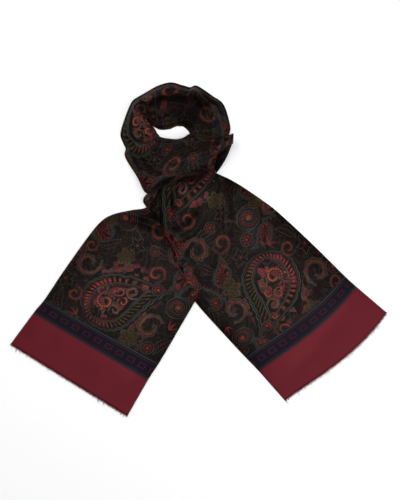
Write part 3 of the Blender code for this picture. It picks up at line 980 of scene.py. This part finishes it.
# Painted shade on the neck stretch: the slit at the top right of the ring, creases, the front wrap's
# right end and its lower edge.
NECK_PAINTED_SHADE = (
    Fold(-2, 322, 34, 298, 0, 5, 5, 1.1),
    Fold(-126, 310, -110, 290, 2, 3, 3, 0.6),
    Fold(28, 174, 50, 214, 0, 2.5, 4, 0.9),
    Fold(-4, 232, 46, 222, 3, 2, 4, 0.5),
    Fold(-66, 131, 27, 162, 0, 4, 3, 0.9),
    Fold(20, 258, 24, 236, 0, 5, 5, 0.5),
)
LAYERS = 4
LAYER_COLUMNS = 5
LAYER_NICK = 2.4
LAYER_STEP = 1.1
UNDER_COLUMNS = 8
TOP_START = UNDER_COLUMNS + LAYERS * LAYER_COLUMNS
EDGE_SHARE = 0.3
EDGE_RUN = 0.16
CREST_RUN = 0.34
MOST_INSET = 0.10
DEEPEST = -4.5


def band_points(table, folds, rows, columns):
    """Closed rings through the table: flat below, lipped at both sides, folded on top."""
    row = smooth_rows(table, rows)
    out_x, out_y, in_x, in_y, base_out, base_in, rim, mid, inner, bow = (c[:, None] for c in row)
    base_out, base_in = np.maximum(base_out, 0), np.maximum(base_in, 0)
    width = np.hypot(in_x - out_x, in_y - out_y)
    edge_out = base_out + (rim - base_out) * EDGE_SHARE
    edge_in = base_in + (inner - base_in) * EDGE_SHARE
    run = np.linspace(0, 1, rows)[:, None]

    def height(t):
        share_out = np.sin(np.clip(t / EDGE_RUN, 0, 1) * math.pi / 2)
        share_in = np.sin(np.clip((1 - t) / EDGE_RUN, 0, 1) * math.pi / 2)
        rise, fall = eased((t - EDGE_RUN) / CREST_RUN), 1 - eased((t - 0.5) / CREST_RUN)
        across = np.where(t < 0.5, rise, fall)
        crown = np.where(t < 0.5, rim + (mid - rim) * across, inner + (mid - inner) * across)
        crown = np.where(t < EDGE_RUN, edge_out + (rim - edge_out) * share_out, crown)
        return np.where(t > 1 - EDGE_RUN, edge_in + (inner - edge_in) * share_in, crown)

    def edge(side, level):
        """Lips of the stacked layers: how far in from the outline at this level, 0 to 1."""
        wave = 0.8 * np.sin(run * (23 + 5 * side) + level * 7) + 0.6 * np.sin(run * 57 + side)
        layer = level * LAYERS
        nick = np.abs(np.sin(layer * math.pi)) ** 0.7
        inward = LAYER_STEP * np.floor(layer) + LAYER_NICK * (1 - nick) + 0.5 * wave
        return np.minimum(np.maximum(inward, 0) / width, MOST_INSET)

    shares = []
    heights = []
    bottom = np.linspace(0.04, 0.96, UNDER_COLUMNS)
    for t in bottom:
        shares.append(t + 0 * width)
        heights.append(base_out + (base_in - base_out) * t)
    levels = np.linspace(0.06, 0.97, LAYERS * LAYER_COLUMNS)
    for level in levels:
        shares.append(1 - edge(1, level))
        heights.append(base_in + (edge_in - base_in) * level)
    inset_in, inset_out = edge(1, levels[-1]), edge(0, levels[-1])
    for t in np.linspace(1, 0, columns):
        shares.append(inset_out + (1 - inset_in - inset_out) * t)
        heights.append(height(t + 0 * width))
    for level in levels[::-1]:
        shares.append(edge(0, level))
        heights.append(base_out + (edge_out - base_out) * level)
    shares.append(shares[0])
    heights.append(heights[0])
    share = np.concatenate(shares, axis=1)
    z = np.concatenate(heights, axis=1)
    swell = bow * 4 * share * (1 - share) / width
    x = out_x + (in_x - out_x) * share - (in_y - out_y) * swell
    y = out_y + (in_y - out_y) * share + (in_x - out_x) * swell
    top = np.zeros_like(share)
    reach = np.linspace(1, 0, columns)
    top[:, TOP_START : TOP_START + columns] = np.sin(math.pi * np.clip(reach, 0.02, 0.98)) ** 0.4
    z = z + np.maximum(fold_height(folds, x, y), DEEPEST) * top
    points = np.stack([x - MIDDLE_X, y - MIDDLE_Y, z], axis=-1)
    across = lengths_along(points, 1) * MM
    crown = TOP_START + columns // 2
    across += CLOTH_WIDTH / 2 - across[:, crown : crown + 1]
    middle = points[:, crown : crown + 1]
    along = np.broadcast_to(lengths_along(middle, 0) * MM, across.shape)
    return points, across, along


NECK_COLUMNS = 60
# Painted shade over the inside of the ring's back, from its inner edge to just short of its outer
# rim.
BOWL_STARTS, BOWL_ENDS, BOWL_FADE = 5.0, 14.6, 0.8
BOWL_INSIDE, BOWL_EDGE = 0.14, 0.12
BOWL_SHADE_STRENGTH = 0.72
points, across, along = band_points(NECK, NECK_FOLDS, rows=300, columns=NECK_COLUMNS)
places = np.stack([across, CLOTH_LENGTH - right_reach - along], axis=-1)
row_at = np.linspace(0, len(NECK) - 1, len(points))[:, None]
inwards = np.zeros((1, points.shape[1]))
inwards[0, TOP_START : TOP_START + NECK_COLUMNS] = np.linspace(1, 0, NECK_COLUMNS)
bowl_shade = eased(row_at - BOWL_STARTS) * eased((BOWL_ENDS - row_at) / BOWL_FADE)
bowl_shade = bowl_shade * eased((inwards - BOWL_INSIDE) / BOWL_EDGE)
shade_shares = np.maximum(BOWL_SHADE_STRENGTH * bowl_shade, painted_shade_at(NECK_PAINTED_SHADE, points))
neck = grid_mesh("neck_silk", points, places, shade_shares, closed=True)
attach(neck, "root")
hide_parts("neck_back", "neck_front")

# ---- The turn at the right ----------------------------------------------------------------
# Where the strand folds round the other one's edge and goes back underneath: a small rounded
# flap that shows at the right of the front wrap, and a flat hidden run to the left tail.
WRAP_TURN = (
    BandRow(70, 223, 36, 156, 0, 0, 3, 5, 3, 4),
    BandRow(66, 222, 34, 159, 0, 0, 8, 11, 7, 3),
    BandRow(60, 219, 31, 163, 0, 0, 8, 10, 7),
    BandRow(52, 213, 24, 166, 0, 0, 4.6, 5.0, 4.6),
    BandRow(35, 203, 12, 158, 0, 0, 4.8, 5.2, 4.8),
    BandRow(2, 185, -13, 130, 0, 0, 4.8, 5.2, 4.8),
    BandRow(-42, 158, -40, 92, 0, 0, 4.8, 5.2, 4.8),
    BandRow(-86, 122, -55, 68, 0, 0, 4.5, 5.0, 4.5),
    BandRow(-94.5, 95.5, -62.5, 55.5, 0, 0, 3.6, 4.6, 4.0),
)
WRAP_TURN_END = 0.9
points, across, along = band_points(WRAP_TURN, (), rows=110, columns=30)
places = np.stack([across, WRAP_TURN_END - along], axis=-1)
# Painted shade from the right tail's slit and the left tail's pocket, where they reach this piece.
shade_shares = painted_shade_at(RIGHT_PAINTED_SHADE[1:2] + LEFT_PAINTED_SHADE[:1], points)
wrap_turn = grid_mesh("wrap_turn_silk", points, places, shade_shares, closed=True)
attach(wrap_turn, "root")
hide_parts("wrap_turn")

# ---- The lip ------------------------------------------------------------------------------
# The left strand's upper edge, turned over on itself where it comes out beside the crossing:
# a short rounded band round a small hollow darkened with painted shade, running down on to the left
# tail's shoulder.
LIP = (
    BandRow(-100, 119, -86, 124, 5.7, 5.7, 9.5, 12.0, 11.5),
    BandRow(-108, 112, -85, 117, 5.7, 5.7, 10.5, 14.0, 11.5),
    BandRow(-114, 104, -87, 110, 5.7, 5.7, 10.5, 14.0, 10.0),
    BandRow(-114, 95, -92, 101, 5.7, 5.7, 10.5, 13.0, 9.0),
    BandRow(-108, 86, -93, 92, 4.2, 4.8, 9.0, 10.5, 9.0),
    BandRow(-101, 79, -89, 84, 3.3, 4.0, 7.4, 8.8, 7.4),
    BandRow(-94, 73, -87, 77, 3.5, 4.0, 6.0, 6.8, 6.0),
)
# Painted shade on the lip: its hollow, and under the front wrap's edge.
LIP_PAINTED_SHADE = (
    Fold(-84, 104, -96, 70, -8, 3, 4, 1.0),
    Fold(-104, 123, -84, 125, 0, 2, 3, 0.7),
)
LIP_START = 0.52
points, across, along = band_points(LIP, (), rows=70, columns=26)
places = np.stack([across, LIP_START + along], axis=-1)
shade_shares = painted_shade_at(LIP_PAINTED_SHADE, points)
lip = grid_mesh("lip_silk", points, places, shade_shares, closed=True)
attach(lip, "root")
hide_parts("lip_fold")

# ---- The fringes --------------------------------------------------------------------------
# The cut ends' own warp threads, clipped to an eyelash of 2 to 4 mm, with a longer one here
# and there. They stand along each end's line, a little redder than the cloth beside them.
THREADS = 430
THREAD_LENGTH = 0.0036
THREAD_RADIUS = 0.00030
LEAST_LEAN, MOST_LEAN = (-0.04, -0.2, -0.5), (0.05, 0.2, 0.5)
RARITY = 45.0


def fringe_group():
    """A line in; a thread on every point of it out, each with its own length and lean."""
    tree = bpy.data.node_groups.new("clipped_fringe", "GeometryNodeTree")
    for name in ("Geometry", "Threads", "Length", "Seed", "Material"):
        kind = {"Threads": "Int", "Length": "Float", "Seed": "Int"}.get(name, name)
        tree.interface.new_socket(name, in_out="INPUT", socket_type="NodeSocket" + kind)
    tree.interface.new_socket("Geometry", in_out="OUTPUT", socket_type="NodeSocketGeometry")
    Worked.tree = tree
    given = add_node("NodeGroupInput", {})
    line = add_node("GeometryNodeMeshToCurve", {"Mesh": given["Geometry"]})["Curve"]
    places = {"Curve": line, "Count": given["Threads"]}
    points = add_node("GeometryNodeCurveToPoints", places, mode="COUNT")
    outwards = vector_math("CROSS_PRODUCT", points["Tangent"], (0, 0, 1))["Vector"]
    facing = add_node("FunctionNodeAlignRotationToVector", {"Vector": outwards}, axis="Y")
    lean = {0: LEAST_LEAN, 1: MOST_LEAN, "Seed": given["Seed"]}
    lean = add_node("FunctionNodeRandomValue", lean, data_type="FLOAT_VECTOR")[0]
    turned = {"Rotation": facing["Rotation"], "Rotate By": lean}
    turned = add_node("FunctionNodeRotateRotation", turned, rotation_space="LOCAL")["Rotation"]
    uneven = {2: 0.0, 3: 1.0, "Seed": given["Seed"]}
    uneven = add_node("FunctionNodeRandomValue", uneven, data_type="FLOAT")[1]
    usual = worked("MULTIPLY_ADD", uneven, 0.55, 0.6)
    size = worked("MULTIPLY_ADD", worked("POWER", uneven, RARITY), 1.9, usual)
    length = worked("MULTIPLY", size, given["Length"])
    scale = add_node("ShaderNodeCombineXYZ", {"X": 1.0, "Y": length, "Z": 1.0})["Vector"]
    bow = {"Resolution": 3, "Start": (0, -0.2, 0), "Middle": (0, 0.5, 0.0003), "End": (0, 1, -0.0001)}
    thread = add_node("GeometryNodeCurveQuadraticBezier", bow)["Curve"]
    section = {"Resolution": 4, "Radius": THREAD_RADIUS}
    section = add_node("GeometryNodeCurvePrimitiveCircle", section)["Curve"]
    stick = {"Curve": thread, "Profile Curve": section, "Fill Caps": True}
    stick = add_node("GeometryNodeCurveToMesh", stick)["Mesh"]
    placed = {"Points": points["Points"], "Instance": stick, "Rotation": turned, "Scale": scale}
    threads = add_node("GeometryNodeInstanceOnPoints", placed)["Instances"]
    real = add_node("GeometryNodeRealizeInstances", {"Geometry": threads})["Geometry"]
    dyed = {"Geometry": real, "Material": given["Material"]}
    dyed = add_node("GeometryNodeSetMaterial", dyed)["Geometry"]
    add_node("NodeGroupOutput", {"Geometry": dyed})
    return tree


FRINGE = fringe_group()
FRINGE_COLOUR = (0.135, 0.0130, 0.0260)
FRINGE_GLOSS = 0.1
BURGUNDY_SILK = plain_material("burgundy_silk", FRINGE_COLOUR, 0.45)
fringe_shader = BURGUNDY_SILK.node_tree.nodes["Principled BSDF"]
fringe_shader.inputs["Specular IOR Level"].default_value = FRINGE_GLOSS


def make_fringe(name, tail_end, seed):
    """Threads along the tail's cut end, made plain mesh."""
    line = bpy.data.meshes.new(name)
    corners = [Vector(point) * MM for point in tail_end]
    line.from_pydata(corners, [(i, i + 1) for i in range(len(corners) - 1)], [])
    guide = bpy.data.objects.new(name + "_line", line)
    bpy.context.scene.collection.objects.link(guide)
    grown = guide.modifiers.new("fringe", "NODES")
    grown.node_group = FRINGE
    wanted = {"Threads": THREADS, "Length": THREAD_LENGTH, "Seed": seed, "Material": BURGUNDY_SILK}
    for item in FRINGE.interface.items_tree:
        if item.in_out == "INPUT" and item.name in wanted:
            grown[item.identifier] = wanted[item.name]
    bpy.context.view_layer.update()
    graph = bpy.context.evaluated_depsgraph_get()
    mesh = bpy.data.meshes.new_from_object(guide.evaluated_get(graph))
    bpy.data.objects.remove(guide)
    made = bpy.data.objects.new(name, mesh)
    bpy.context.scene.collection.objects.link(made)
    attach(made, "root")
    return made


left_fringe = make_fringe("left_fringe", left_end, 3)
right_fringe = make_fringe("right_fringe", right_end, 8)
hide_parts("fringe_left")
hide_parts("fringe_right")
